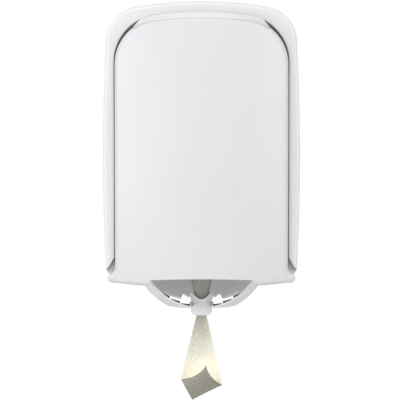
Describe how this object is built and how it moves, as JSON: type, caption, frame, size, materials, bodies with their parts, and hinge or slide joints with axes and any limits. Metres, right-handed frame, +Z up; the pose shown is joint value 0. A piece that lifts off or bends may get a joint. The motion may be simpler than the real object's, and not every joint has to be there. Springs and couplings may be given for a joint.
{
  "type": "centrefeed roll dispenser",
  "caption": "Wall dispenser for centrefeed paper: deep casing with a bowed hinged cover, key lock, outlet bowl with toothed tear slots, nozzle, roll and a hanging paper tail.",
  "frame": {"origin": "centre of the wall fixing holes on the back face of the casing", "axes": "+X to the right seen from the front, +Y into the wall, +Z up"},
  "size_m": [0.2394, 0.2255, 0.4986],
  "materials": {
    "casing_plastic": "satin white",
    "cover_plastic": "satin white",
    "bowl_plastic": "gloss white",
    "nozzle_plastic": "gloss white",
    "tray_plastic": "matte white",
    "bush_plastic": "matte black",
    "steel": "zinc plated",
    "lock_metal": "bright plated",
    "paper": "soft crepe"
  },
  "bodies": {
    "casing": {"rear_casing": "casing_plastic", "roll_tray": "tray_plastic", "tray_screws": "steel", "outlet_bowl": "bowl_plastic", "bowl_screws": "steel", "hinge_pin_left": "steel", "hinge_pin_right": "steel", "lock_sleeve": "lock_metal", "lock_nut": "steel", "paper_roll": "paper", "paper_tail": "paper"},
    "cover": {"front_cover": "cover_plastic", "hinge_bush_left": "bush_plastic", "hinge_bush_right": "bush_plastic", "catch_plate": "steel", "catch_screws": "steel"},
    "lock": {"lock_barrel": "lock_metal", "lock_cam": "steel", "cam_screw": "steel"},
    "nozzle": {"nozzle": "nozzle_plastic", "nozzle_clip": "steel"}
  },
  "joints": [
    {"name": "cover_hinge", "type": "hinge", "parent": "casing", "child": "cover", "pos_m": [0, -0.191, -0.162], "axis": [1, 0, 0], "range_deg": [0, 95]},
    {"name": "lock_turn", "type": "hinge", "parent": "casing", "child": "lock", "pos_m": [0, -0.157, 0.155], "axis": [0, 0, 1], "range_deg": [0, 90]},
    {"name": "nozzle_swivel", "type": "hinge", "parent": "casing", "child": "nozzle", "pos_m": [0, -0.105, -0.2066], "axis": [0, 0, 1], "continuous": true}
  ]
}
